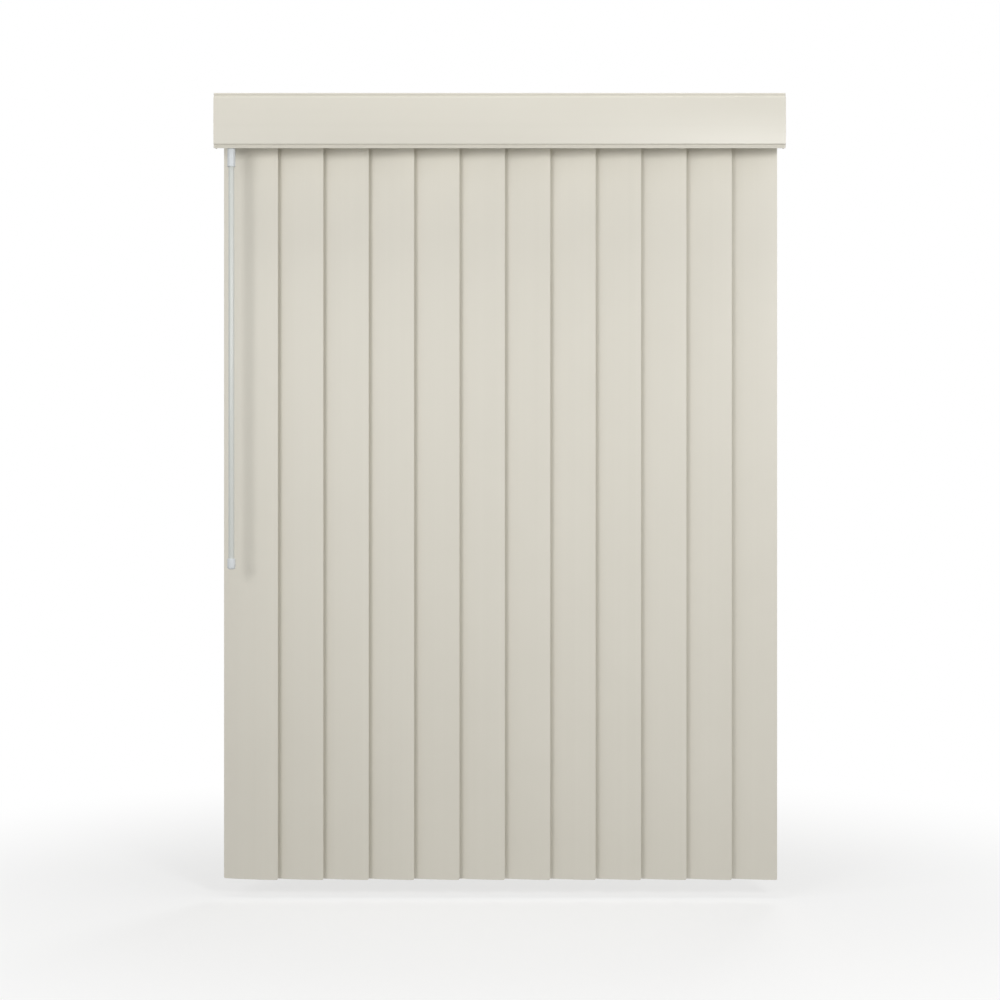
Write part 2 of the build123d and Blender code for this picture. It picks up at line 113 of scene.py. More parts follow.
class Graph:
    """Adds nodes to a node tree and joins their sockets."""

    def __init__(self, tree: bpy.types.NodeTree) -> None:
        """Keeps the tree that the nodes go in."""
        self.tree = tree

    def add(
        self, kind: str, settings: Optional[Mapping] = None, inputs: Optional[Mapping] = None
    ) -> bpy.types.Node:
        """Adds one node.

        Args:
            kind: the node's type name.
            settings: the node's own properties.
            inputs: values or sockets for its inputs, by name or place.

        Returns:
            The new node.
        """
        node = self.tree.nodes.new(kind)
        for name, value in (settings or {}).items():
            setattr(node, name, value)
        for key, value in (inputs or {}).items():
            self.feed(node.inputs[key], value)
        return node

    def feed(self, socket: bpy.types.NodeSocket, value: object) -> None:
        """Links a socket into an input, or sets the input to a plain value.

        Args:
            socket: the input.
            value: the socket or value for it.
        """
        if isinstance(value, bpy.types.NodeSocket):
            self.tree.links.new(value, socket)
        else:
            socket.default_value = value

    def math(self, operation: str, *values: object) -> bpy.types.NodeSocket:
        """Gives the result of one math node."""
        return self.add("ShaderNodeMath", {"operation": operation}, dict(enumerate(values))).outputs[0]

    def vector(self, operation: str, *values: object) -> bpy.types.NodeSocket:
        """Gives the vector result of one vector math node."""
        return self.add("ShaderNodeVectorMath", {"operation": operation}, dict(enumerate(values))).outputs[0]

    def join(self, x: object, y: object, z: object) -> bpy.types.NodeSocket:
        """Gives a vector of three values."""
        return self.add("ShaderNodeCombineXYZ", None, {0: x, 1: y, 2: z}).outputs[0]

    def blend(self, factor: object, first: object, second: object) -> bpy.types.NodeSocket:
        """Gives a colour between two colours."""
        return self.add("ShaderNodeMix", {"data_type": "RGBA"}, {0: factor, 6: first, 7: second}).outputs[2]

    def spread(
        self, value: object, low: object, high: object, start: float = 0.0, end: float = 1.0
    ) -> bpy.types.NodeSocket:
        """Gives a value moved from start..end to low..high."""
        inputs = {0: value, 1: start, 2: end, 3: low, 4: high}
        return self.add("ShaderNodeMapRange", None, inputs).outputs[0]

    def noise(
        self, vector: object, scale: object, detail: float, roughness: float = 0.5
    ) -> bpy.types.NodeSocket:
        """Gives a noise value from 0 to 1."""
        inputs = {"Vector": vector, "Scale": scale, "Detail": detail, "Roughness": roughness}
        return self.add("ShaderNodeTexNoise", None, inputs).outputs[0]


def shader_group(
    name: str, inputs: Mapping[str, str], outputs: Mapping[str, str]
) -> tuple[Graph, Mapping, Mapping]:
    """Starts a shader node group.

    Args:
        name: the group's name.
        inputs: socket types by input name.
        outputs: socket types by output name.

    Returns:
        The graph to fill, the group's given sockets and its result sockets, by name.
    """
    tree = bpy.data.node_groups.new(name, "ShaderNodeTree")
    for side, sockets in (("INPUT", inputs), ("OUTPUT", outputs)):
        for label, kind in sockets.items():
            tree.interface.new_socket(name=label, in_out=side, socket_type=f"NodeSocket{kind}")
    graph = Graph(tree)
    return graph, graph.add("NodeGroupInput").outputs, graph.add("NodeGroupOutput").inputs


def die_lines() -> bpy.types.NodeTree:
    """Builds the fine lines and broad streaks that a die leaves along a pulled strip.

    Returns:
        A group that puts out Height for a bump and Streak for colour and gloss.
    """
    graph, given, result = shader_group(
        "die lines", {"Vector": "Vector", "Pull": "Vector"}, {"Height": "Float", "Streak": "Float"}
    )
    fine = graph.vector("MULTIPLY", given["Vector"], given["Pull"])
    graph.feed(result["Height"], graph.noise(fine, 1.0, 2.0))
    broad = graph.vector("MULTIPLY", fine, (0.09, 0.09, 0.09))
    graph.feed(result["Streak"], graph.noise(broad, 1.0, 3.0, 0.6))
    return graph.tree


def moulded_skin() -> bpy.types.NodeTree:
    """Builds the fine skin and slow cloudiness of moulded plastic.

    Returns:
        A group that puts out Height for a bump and Cloud for colour and gloss.
    """
    graph, given, result = shader_group(
        "moulded skin",
        {"Vector": "Vector", "Grain": "Float", "Cloud": "Float"},
        {"Height": "Float", "Cloud": "Float"},
    )
    peel = graph.noise(given["Vector"], given["Grain"], 2.0, 0.55)
    inputs = {"Vector": given["Vector"], "Scale": given["Grain"]}
    pits = graph.add("ShaderNodeTexVoronoi", {"feature": "SMOOTH_F1"}, inputs)
    graph.feed(result["Height"], graph.math("MULTIPLY_ADD", pits.outputs["Distance"], 0.5, peel))
    graph.feed(result["Cloud"], graph.noise(given["Vector"], given["Cloud"], 3.0, 0.55))
    return graph.tree


def settled_dust() -> bpy.types.NodeTree:
    """Builds the thin dust that lies on faces that look up.

    Returns:
        A group that puts out Mask, from 0 for clean to 1 for dusty.
    """
    graph, given, result = shader_group(
        "settled dust", {"Vector": "Vector", "Normal": "Vector", "Amount": "Float"}, {"Mask": "Float"}
    )
    upward = graph.add("ShaderNodeSeparateXYZ", None, {0: given["Normal"]}).outputs[2]
    lying = graph.spread(upward, 0.0, 1.0, 0.55, 0.95)
    patchy = graph.spread(graph.noise(given["Vector"], 55.0, 5.0, 0.65), 0.25, 1.0, 0.35, 0.7)
    graph.feed(result["Mask"], graph.math("MULTIPLY", graph.math("MULTIPLY", lying, patchy), given["Amount"]))
    return graph.tree


class Effects:
    """The shader groups that the finishes share."""

    def __init__(self) -> None:
        """Builds each group once."""
        self.lines = die_lines()
        self.skin = moulded_skin()
        self.dust = settled_dust()


@dataclass(frozen=True)
class Finish:
    """One surface finish: its colour, gloss and relief, in metres where they are lengths."""

    slot: Slot
    colour: Colour
    cloud_colour: Colour
    roughness: tuple[float, float]
    pull: Pull = Pull.NONE
    line_height: float = 0.0
    grain: float = 2600.0
    grain_height: float = 0.00001
    cloud: float = 14.0
    dust: float = 0.0
    metallic: float = 0.0
    specular: float = 0.5
    transmission: float = 0.0
    ior: float = 1.5

    def material(self, effects: Effects) -> bpy.types.Material:
        """Builds the finish as a procedural material.

        Args:
            effects: the shared shader groups.

        Returns:
            The material, named for its slot.
        """
        made = bpy.data.materials.new(self.slot.value)
        made.use_nodes = True
        made.node_tree.nodes.clear()
        graph = Graph(made.node_tree)
        place = graph.add("ShaderNodeTexCoord").outputs["Object"]
        inputs = {"Vector": place, "Grain": self.grain, "Cloud": self.cloud}
        skin = graph.add("ShaderNodeGroup", {"node_tree": effects.skin}, inputs).outputs
        variation = skin["Cloud"]
        inputs = {"Strength": 1.0, "Distance": self.grain_height, "Height": skin["Height"]}
        bump = graph.add("ShaderNodeBump", None, inputs)
        if self.pull is not Pull.NONE:
            inputs = {"Vector": place, "Pull": self.pull.value}
            lines = graph.add("ShaderNodeGroup", {"node_tree": effects.lines}, inputs).outputs
            half_cloud = graph.math("MULTIPLY", variation, 0.5)
            variation = graph.math("MULTIPLY_ADD", lines["Streak"], 0.5, half_cloud)
            inputs = {"Strength": 1.0, "Distance": self.line_height, "Height": lines["Height"]}
            bump = graph.add("ShaderNodeBump", None, {**inputs, "Normal": bump.outputs[0]})
        factor = graph.spread(variation, 0.0, 1.0, *CLOUD_RANGE)
        colour = graph.blend(factor, (*self.cloud_colour, 1.0), (*self.colour, 1.0))
        gloss = graph.spread(variation, *self.roughness, *CLOUD_RANGE)
        if self.dust:
            normal = graph.add("ShaderNodeNewGeometry").outputs["Normal"]
            inputs = {"Vector": place, "Normal": normal, "Amount": self.dust}
            mask = graph.add("ShaderNodeGroup", {"node_tree": effects.dust}, inputs).outputs["Mask"]
            colour = graph.blend(mask, colour, (*DUST, 1.0))
            gloss = graph.spread(mask, gloss, 0.9)
        inputs = {
            "Base Color": colour,
            "Roughness": gloss,
            "Normal": bump.outputs[0],
            "Metallic": self.metallic,
            "Specular IOR Level": self.specular,
            "Transmission Weight": self.transmission,
            "IOR": self.ior,
        }
        shader = graph.add("ShaderNodeBsdfPrincipled", None, inputs)
        graph.add("ShaderNodeOutputMaterial", None, {"Surface": shader.outputs[0]})
        return made


FINISHES = (
    Finish(
        Slot.VANE, (0.735, 0.705, 0.62), (0.71, 0.68, 0.595), (0.42, 0.5),
        pull=Pull.UPRIGHT, line_height=0.00001, grain=1500.0, grain_height=0.000012, cloud=7.0,
    ),
    Finish(
        Slot.VALANCE, (0.71, 0.682, 0.6), (0.69, 0.662, 0.58), (0.34, 0.42),
        pull=Pull.SIDEWAYS, line_height=0.000008, grain=1500.0, grain_height=0.000008, cloud=6.0, dust=0.2,
    ),
    Finish(
        Slot.RAIL, (0.8, 0.79, 0.75), (0.77, 0.76, 0.72), (0.28, 0.38),
        pull=Pull.SIDEWAYS, line_height=0.000006, grain=1800.0, grain_height=0.00001, dust=0.25,
    ),
    Finish(Slot.CAP, (0.78, 0.77, 0.73), (0.75, 0.74, 0.7), (0.4, 0.5), grain_height=0.00002, dust=0.25),
    Finish(
        Slot.ROD, (0.79, 0.8, 0.8), (0.7, 0.71, 0.72), (0.26, 0.42),
        pull=Pull.SIDEWAYS, line_height=0.000008, metallic=1.0, cloud=40.0,
    ),
    Finish(
        Slot.BRACKET, (0.62, 0.63, 0.64), (0.47, 0.48, 0.5), (0.27, 0.44),
        grain=700.0, cloud=130.0, metallic=1.0, dust=0.3,
    ),
    Finish(Slot.CLIP, (0.93, 0.95, 0.95), (0.9, 0.92, 0.92), (0.1, 0.18), transmission=0.85, ior=1.49),
    Finish(
        Slot.CARRIER, (0.79, 0.78, 0.75), (0.76, 0.75, 0.72), (0.4, 0.5),
        grain_height=0.000016, cloud=60.0, dust=0.3,
    ),
    Finish(
        Slot.GEAR, (0.73, 0.73, 0.71), (0.69, 0.69, 0.67), (0.35, 0.45),
        grain_height=0.000012, cloud=80.0,
    ),
    Finish(
        Slot.HANGER, (0.86, 0.87, 0.86), (0.82, 0.83, 0.82), (0.22, 0.32),
        transmission=0.45, ior=1.55, cloud=60.0,
    ),
    Finish(
        Slot.WAND, (0.66, 0.68, 0.645), (0.64, 0.66, 0.625), (0.2, 0.28),
        pull=Pull.UPRIGHT, line_height=0.000006, grain_height=0.000006, cloud=30.0,
    ),
    Finish(
        Slot.FITTING, (0.71, 0.74, 0.755), (0.69, 0.72, 0.735), (0.24, 0.32),
        grain_height=0.000012, cloud=50.0,
    ),
)


class Paint:
    """Hands out the materials of the finishes."""

    def __init__(self, finishes: Iterable[Finish]) -> None:
        """Builds every finish once."""
        effects = Effects()
        self.materials = {finish.slot: finish.material(effects) for finish in finishes}

    def coat(self, obj: bpy.types.Object, slot: Slot) -> None:
        """Gives an object one finish all over.

        Args:
            obj: the object.
            slot: the finish's slot.
        """
        obj.data.materials.clear()
        obj.data.materials.append(self.materials[slot])


def linked(name: str, mesh: bpy.types.Mesh) -> bpy.types.Object:
    """Makes an object of a mesh and puts it in the scene.

    Args:
        name: the object's name.
        mesh: its mesh.

    Returns:
        The object.
    """
    obj = bpy.data.objects.new(name, mesh)
    bpy.context.scene.collection.objects.link(obj)
    return obj


def bake(obj: bpy.types.Object) -> None:
    """Turns an object's modifiers into its plain mesh.

    Args:
        obj: the object.
    """
    graph = bpy.context.evaluated_depsgraph_get()
    evaluated = obj.evaluated_get(graph)
    mesh = bpy.data.meshes.new_from_object(evaluated, preserve_all_data_layers=True, depsgraph=graph)
    spent = obj.data
    obj.modifiers.clear()
    obj.data = mesh
    bpy.data.meshes.remove(spent)


def store(shape: bmesh.types.BMesh, name: str) -> bpy.types.Object:
    """Makes an object of a bmesh with its faces turned outwards.

    Args:
        shape: the bmesh, which is freed.
        name: the object's name.

    Returns:
        The object.
    """
    bmesh.ops.recalc_face_normals(shape, faces=shape.faces)
    mesh = bpy.data.meshes.new(name)
    shape.to_mesh(mesh)
    shape.free()
    return linked(name, mesh)


@dataclass(frozen=True)
class SoftEdge:
    """The small rounding that moulding, pulling or tumbling leaves on an edge."""

    width: float
    segments: int = 2
    angle: float = 35.0

    def apply(self, obj: bpy.types.Object) -> None:
        """Rounds the object's sharp edges and evens its shading.

        Args:
            obj: the object.
        """
        bevel = obj.modifiers.new("soft edge", "BEVEL")
        bevel.limit_method = "ANGLE"
        bevel.angle_limit = math.radians(self.angle)
        bevel.width = self.width
        bevel.segments = self.segments
        obj.data.shade_smooth()
        even = obj.modifiers.new("even shading", "WEIGHTED_NORMAL")
        even.mode = "FACE_AREA"
        even.weight = 50
        bake(obj)


def rounded(corners: Sequence[Corner], closed: bool, steps: int = 5) -> list[Point]:
    """Rounds the corners of a flat outline.

    Args:
        corners: each corner's two coordinates and radius.
        closed: whether the last corner joins the first.
        steps: straight runs in each arc.

    Returns:
        The points of the rounded outline.
    """
    points: list[Point] = []
    last = len(corners) - 1
    for place, (across, up, radius) in enumerate(corners):
        here = Vector((across, up))
        if not radius or (not closed and place in (0, last)):
            points.append((across, up))
            continue
        back = (Vector(corners[place - 1][:2]) - here).normalized()
        on = (Vector(corners[(place + 1) % len(corners)][:2]) - here).normalized()
        half = back.angle(on) / 2
        centre = here + (back + on).normalized() * (radius / math.sin(half))
        start = here + back * (radius / math.tan(half)) - centre
        end = here + on * (radius / math.tan(half)) - centre
        first = math.atan2(start.y, start.x)
        sweep = math.remainder(math.atan2(end.y, end.x) - first, 2 * math.pi)
        for step in range(steps + 1):
            angle = first + sweep * step / steps
            points.append((centre.x + radius * math.cos(angle), centre.y + radius * math.sin(angle)))
    return points


def circle(radius: float, count: int) -> list[Point]:
    """Gives evenly spaced points of a circle about the origin."""
    turns = [2 * math.pi * run / count for run in range(count)]
    return [(radius * math.cos(turn), radius * math.sin(turn)) for turn in turns]


def turned(profile: Sequence[Point], x: float, y: float, sides: int = 64) -> bmesh.types.BMesh:
    """Turns a profile about an upright axis.

    Args:
        profile: radius and height of each point, with both ends on the axis.
        x: the axis's place along X.
        y: the axis's place along Y.
        sides: points round the axis.

    Returns:
        The closed shape.
    """
    shape = bmesh.new()
    rings = []
    for radius, height in profile:
        if radius < 1e-9:
            rings.append([shape.verts.new((x, y, height))])
            continue
        ring = circle(radius, sides)
        rings.append([shape.verts.new((x + across, y + back, height)) for across, back in ring])
    for lower, upper in zip(rings, rings[1:]):
        for side in range(sides):
            after = (side + 1) % sides
            corners = [(lower, side), (lower, after), (upper, after), (upper, side)]
            shape.faces.new(dict.fromkeys(ring[place % len(ring)] for ring, place in corners))
    return shape


def prism(shape: bmesh.types.BMesh, outline: Sequence[Vector], along: Vector) -> None:
    """Adds a closed prism to a shape.

    Args:
        shape: what the prism is added to.
        outline: the points of one end.
        along: the way from that end to the other.
    """
    near = [shape.verts.new(point) for point in outline]
    far = [shape.verts.new(point + along) for point in outline]
    shape.faces.new(near)
    shape.faces.new(far)
    for place in range(len(near)):
        shape.faces.new((near[place - 1], near[place], far[place], far[place - 1]))


def geometry_tree(name: str, inputs: Mapping[str, str]) -> tuple[Graph, Mapping, bpy.types.NodeSocket]:
    """Starts a Geometry Nodes tree.

    Args:
        name: the tree's name.
        inputs: socket types of the named inputs.

    Returns:
        The graph to fill, its given sockets and the input of its output node.
    """
    tree = bpy.data.node_groups.new(name, "GeometryNodeTree")
    tree.interface.new_socket(name="Geometry", in_out="INPUT", socket_type="NodeSocketGeometry")
    for label, kind in inputs.items():
        tree.interface.new_socket(name=label, in_out="INPUT", socket_type=f"NodeSocket{kind}")
    tree.interface.new_socket(name="Geometry", in_out="OUTPUT", socket_type="NodeSocketGeometry")
    graph = Graph(tree)
    return graph, graph.add("NodeGroupInput").outputs, graph.add("NodeGroupOutput").inputs[0]


def grow(obj: bpy.types.Object, tree: bpy.types.NodeTree, values: Mapping[str, object]) -> None:
    """Runs a Geometry Nodes tree on an object and keeps the result as its mesh.

    Args:
        obj: the object that holds what the tree starts from.
        tree: the tree.
        values: the tree's inputs by name.
    """
    modifier = obj.modifiers.new(tree.name, "NODES")
    modifier.node_group = tree
    for item in tree.interface.items_tree:
        if item.item_type == "SOCKET" and item.in_out == "INPUT" and item.name in values:
            modifier[item.identifier] = values[item.name]
    bake(obj)


def closed_by(graph: Graph, face: bpy.types.NodeSocket, sides: bpy.types.NodeSocket) -> bpy.types.NodeSocket:
    """Closes an extruded face behind with the face it came from, turned round.

    Args:
        graph: the tree's graph.
        face: the face that was extruded.
        sides: what the extrusion gave.

    Returns:
        The closed shape.
    """
    back = graph.add("GeometryNodeFlipFaces", None, {"Mesh": face}).outputs[0]
    both = graph.add("GeometryNodeJoinGeometry", None, {0: sides})
    graph.feed(both.inputs[0], back)
    inputs = {"Geometry": both.outputs[0], "Distance": WELD}
    return graph.add("GeometryNodeMergeByDistance", None, inputs).outputs[0]


def finished(
    graph: Graph, shape: bpy.types.NodeSocket, material: bpy.types.NodeSocket, result: bpy.types.NodeSocket
) -> None:
    """Ends a tree in Realize Instances and Set Material.

    Args:
        graph: the tree's graph.
        shape: the shape to put out.
        material: its material.
        result: the input of the tree's output node.
    """
    real = graph.add("GeometryNodeRealizeInstances", None, {"Geometry": shape}).outputs[0]
    inputs = {"Geometry": real, "Material": material}
    graph.feed(result, graph.add("GeometryNodeSetMaterial", None, inputs).outputs[0])


@dataclass
class Vanes:
    """Twelve bowed PVC strips, each hung by a punched slot and closed against the next."""

    count: int = 12
    pitch: float = 72.0 * MM
    width: float = 89.0 * MM
    thickness: float = 0.8 * MM
    bow: float = 2.0 * MM
    head: float = -50.0 * MM
    foot: float = -1237.7 * MM
    corner: float = 2.5 * MM
    closed_angle: float = 10.0
    slot_width: float = 14.0 * MM
    slot_height: float = 5.0 * MM
    slot_drop: float = 7.0 * MM
    runs_across: int = 28
    runs_along: int = 11
    slot_runs: int = 8
    corner_runs: int = 6
    edge: SoftEdge = SoftEdge(0.2 * MM, 2)

    def axis(self, order: int) -> float:
        """Gives the place along X of one vane's axis."""
        return (order - (self.count - 1) / 2) * self.pitch

    def tree(self) -> bpy.types.NodeTree:
        """Builds the tree that cuts one strip, punches its slot, bows it and hangs it up.

        Returns:
            The Geometry Nodes tree.
        """
        names = (
            "Arc Width", "Length", "Thickness", "Bow Radius", "Slot Width", "Slot Height", "Slot Drop",
            "Axis X", "Head Z", "Turn",
        )
        kinds = {**dict.fromkeys(names, "Float"), "Material": "Material"}
        graph, given, result = geometry_tree("bowed vane", kinds)
        size = graph.join(given["Arc Width"], given["Thickness"], given["Length"])
        cuts = {"Vertices X": self.runs_across + 1, "Vertices Y": 2, "Vertices Z": self.runs_along + 1}
        slab = graph.add("GeometryNodeMeshCube", None, {"Size": size, **cuts}).outputs["Mesh"]
        inputs = {"Width": given["Slot Width"], "Height": given["Slot Height"]}
        outline = graph.add("GeometryNodeCurvePrimitiveQuadrilateral", None, inputs).outputs[0]
        radius = graph.math("MULTIPLY", given["Slot Height"], 0.499)
        inputs = {"Curve": outline, "Count": self.slot_runs, "Radius": radius}
        outline = graph.add("GeometryNodeFilletCurve", {"mode": "POLY"}, inputs).outputs[0]
        face = graph.add("GeometryNodeFillCurve", {"mode": "NGONS"}, {"Curve": outline}).outputs[0]
        half_length = graph.math("MULTIPLY", given["Length"], 0.5)
        drop = graph.math("MULTIPLY_ADD", given["Slot Height"], 0.5, given["Slot Drop"])
        behind = graph.math("MULTIPLY", given["Thickness"], 2.0)
        place = graph.join(0.0, behind, graph.math("SUBTRACT", half_length, drop))
        inputs = {"Geometry": face, "Translation": place, "Rotation": (math.pi / 2, 0.0, 0.0)}
        face = graph.add("GeometryNodeTransform", None, inputs).outputs[0]
        reach = graph.math("MULTIPLY", given["Thickness"], 4.0)
        inputs = {"Mesh": face, "Offset Scale": reach, "Individual": False}
        punch = graph.add("GeometryNodeExtrudeMesh", {"mode": "FACES"}, inputs).outputs["Mesh"]
        punch = closed_by(graph, face, punch)
        inputs = {"Mesh 1": slab, "Mesh 2": punch}
        strip = graph.add("GeometryNodeMeshBoolean", {"operation": "DIFFERENCE"}, inputs).outputs["Mesh"]
        position = graph.add("GeometryNodeInputPosition").outputs[0]
        flat = graph.add("ShaderNodeSeparateXYZ", None, {0: position}).outputs
        angle = graph.math("DIVIDE", flat[0], given["Bow Radius"])
        radius = graph.math("SUBTRACT", given["Bow Radius"], flat[1])
        across = graph.math("MULTIPLY", radius, graph.math("SINE", angle))
        forward = graph.math("MULTIPLY", radius, graph.math("COSINE", angle))
        depth = graph.math("SUBTRACT", given["Bow Radius"], forward)
        height = graph.math("SUBTRACT", flat[2], half_length)
        inputs = {"Geometry": strip, "Position": graph.join(across, depth, height)}
        bowed = graph.add("GeometryNodeSetPosition", None, inputs).outputs[0]
        inputs = {
            "Geometry": bowed,
            "Translation": graph.join(given["Axis X"], 0.0, given["Head Z"]),
            "Rotation": graph.join(0.0, 0.0, given["Turn"]),
        }
        hung = graph.add("GeometryNodeTransform", None, inputs).outputs[0]
        finished(graph, hung, given["Material"], result)
        return graph.tree

    def round_corners(self, obj: bpy.types.Object) -> None:
        """Rounds the four corners of a hung strip.

        Args:
            obj: the strip.
        """
        shape = bmesh.new()
        shape.from_mesh(obj.data)
        middle = sum((vert.co.x for vert in shape.verts), 0.0) / len(shape.verts)
        reach = self.width / 2 * math.cos(math.radians(self.closed_angle)) - self.corner / 2
        levels = (self.head, self.foot)
        ends = {
            vert
            for vert in shape.verts
            if abs(vert.co.x - middle) > reach and min(abs(vert.co.z - level) for level in levels) < 10 * WELD
        }
        edges = [edge for edge in shape.edges if edge.verts[0] in ends and edge.verts[1] in ends]
        rounding = {"offset": self.corner, "segments": self.corner_runs, "profile": 0.5}
        bmesh.ops.bevel(shape, geom=edges, affect="EDGES", **rounding)
        bmesh.ops.recalc_face_normals(shape, faces=shape.faces)
        shape.to_mesh(obj.data)
        shape.free()

    def build(self, paint: Paint) -> None:
        """Makes and dresses every vane.

        Args:
            paint: the materials.
        """
        half = self.width / 2
        radius = (half * half + self.bow * self.bow) / (2 * self.bow)
        tree = self.tree()
        sizes = {
            "Arc Width": 2 * radius * math.asin(half / radius),
            "Length": self.head - self.foot,
            "Thickness": self.thickness,
            "Bow Radius": radius,
            "Slot Width": self.slot_width,
            "Slot Height": self.slot_height,
            "Slot Drop": self.slot_drop,
            "Head Z": self.head,
            "Turn": -math.radians(self.closed_angle),
            "Material": paint.materials[Slot.VANE],
        }
        for order in range(self.count):
            node = f"vane_{order + 1:02d}"
            strip = linked(f"{node}_strip", bpy.data.meshes.new(node))
            grow(strip, tree, {**sizes, "Axis X": self.axis(order)})
            self.round_corners(strip)
            self.edge.apply(strip)
            paint.coat(strip, Slot.VANE)
            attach(strip, node)
            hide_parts(node)
            log.info("%s: %d faces", strip.name, len(strip.data.polygons))


@dataclass
class Valance:
    """The crowned panel that hides the headrail, with a flat return at each end and hooked ribs behind."""

    half_width: float = 445.2 * MM
    front: float = -65.94 * MM
    top: float = -1.0 * MM
    height: float = 86.0 * MM
    wall: float = 1.8 * MM
    crown: float = 1.5 * MM
    step: float = 2.0 * MM
    band: float = 6.5 * MM
    depth: float = 29.94 * MM
    nose: float = 0.9 * MM
    lip: float = 0.5 * MM
    bead: float = 1.5 * MM
    bead_back: float = 0.4 * MM
    bead_radius: float = 1.8 * MM
    groove: float = 2.8 * MM
    groove_depth: float = 1.1 * MM
    groove_radius: float = 0.4 * MM
    shoulder: float = 2.0 * MM
    return_radius: float = 5.0 * MM
    return_inset: float = 0.05 * MM
    return_lift: float = 2.8 * MM
    rib_end: float = 8.0 * MM
    rib_inset: float = 9.5 * MM
    rib: float = 1.2 * MM
    rib_gap: float = 1.2 * MM
    rib_lip: float = 2.4 * MM
    arc_runs: int = 24
    edge: SoftEdge = SoftEdge(0.2 * MM, 2)

    def arc(self, wall: float, low: float, high: float) -> list[Corner]:
        """Gives the inner points of a crowned line.

        Args:
            wall: how far it lies behind the crown of the face.
            low: the height of its lower end.
            high: the height of its upper end.

        Returns:
            The points, from high to low.
        """
        middle, reach = (low + high) / 2, (high - low) / 2
        shares = [1 - 2 * run / self.arc_runs for run in range(1, self.arc_runs)]
        return [(wall + self.crown * share * share, middle + reach * share, 0.0) for share in shares]

    def section(self) -> list[Point]:
        """Draws the panel's section, as distance behind the crown of the face and height.

        Returns:
            The points of the closed outline.
        """
        foot = self.top - self.height
        high, low = self.top - self.band, foot + self.band
        under, over = high - self.wall, low + self.wall
        shelf = self.crown + self.step
        deep, seat = shelf + self.wall, self.crown + self.wall
        groove, rim = shelf + self.groove_depth, shelf + self.bead_back
        upper = [
            (groove, high, 0.0), (groove, high + self.groove, self.groove_radius),
            (shelf, self.top - self.bead, self.bead_radius), (rim, self.top, self.lip),
        ]
        lower = [(up, foot + self.top - height, radius) for up, height, radius in reversed(upper)]
        lower[-1] = (groove, low - self.shoulder, 0.0)
        corners = [
            (self.crown, high, self.nose), *upper,
            (deep, self.top, self.lip), (deep, under, 0.0), (seat, under, 0.0),
            *self.arc(self.wall, over, under),
            (seat, over, 0.0), (deep, over, 0.0), (deep, foot, self.lip),
            *lower, (self.crown, low, self.nose),
            *reversed(self.arc(0.0, low, high)),
        ]
        return rounded(corners, True)

    def return_section(self) -> list[Point]:
        """Draws a return, with its front edge inside the panel's wall.

        Returns:
            The points of the closed outline.
        """
        within = self.wall / 2
        top, foot = self.top - self.return_inset, self.top - self.height + self.return_lift
        high, low = self.top - self.band - within, self.top - self.height + self.band + within
        shelf, crown = self.crown + self.step + within, self.crown + within
        corners = [
            (crown, high, 0.0), (shelf, high, 0.0), (shelf, top, 0.0), (self.depth, top, self.return_radius),
            (self.depth, foot, self.return_radius), (shelf, foot, 0.0), (shelf, low, 0.0), (crown, low, 0.0),
            *reversed(self.arc(within, low, high)),
        ]
        return rounded(corners, True, 8)

    def hook(self, start: float, toward: int) -> list[Point]:
        """Draws a hooked rib.

        Args:
            start: the height it starts from.
            toward: 1 if its hook points up, -1 if down.

        Returns:
            The points of the closed outline.
        """
        within = start + toward * self.rib
        tongue = within + toward * self.rib_lip
        lip = self.crown + self.wall + self.rib_gap
        web = lip + self.rib
        foot, top = [(self.wall, start), (web, start)], [(lip, within), (self.wall, within)]
        return [*foot, (web, tongue), (lip, tongue), *top]

    def tree(self) -> bpy.types.NodeTree:
        """Builds the tree that pulls a section along X.

        Returns:
            The Geometry Nodes tree.
        """
        kinds = {"Start X": "Float", "Length": "Float", "Front Y": "Float", "Material": "Material"}
        graph, given, result = geometry_tree("pulled strip", kinds)
        inputs = {
            "Mesh": given["Geometry"],
            "Offset": (1.0, 0.0, 0.0),
            "Offset Scale": given["Length"],
            "Individual": False,
        }
        pulled = graph.add("GeometryNodeExtrudeMesh", {"mode": "FACES"}, inputs).outputs["Mesh"]
        strip = closed_by(graph, given["Geometry"], pulled)
        inputs = {"Geometry": strip, "Translation": graph.join(given["Start X"], given["Front Y"], 0.0)}
        placed = graph.add("GeometryNodeTransform", None, inputs).outputs[0]
        finished(graph, placed, given["Material"], result)
        return graph.tree

    def strip(self, name: str, outline: Sequence[Point]) -> bpy.types.Object:
        """Lays out one section, ready to be pulled.

        Args:
            name: the strip's name.
            outline: the section, as distance behind the crown of the face and height.

        Returns:
            An object with the section as its one face.
        """
        shape = bmesh.new()
        face = shape.faces.new([shape.verts.new((0.0, back, up)) for back, up in outline])
        face.normal_update()
        if face.normal.x < 0:
            face.normal_flip()
        mesh = bpy.data.meshes.new(name)
        shape.to_mesh(mesh)
        shape.free()
        return linked(name, mesh)

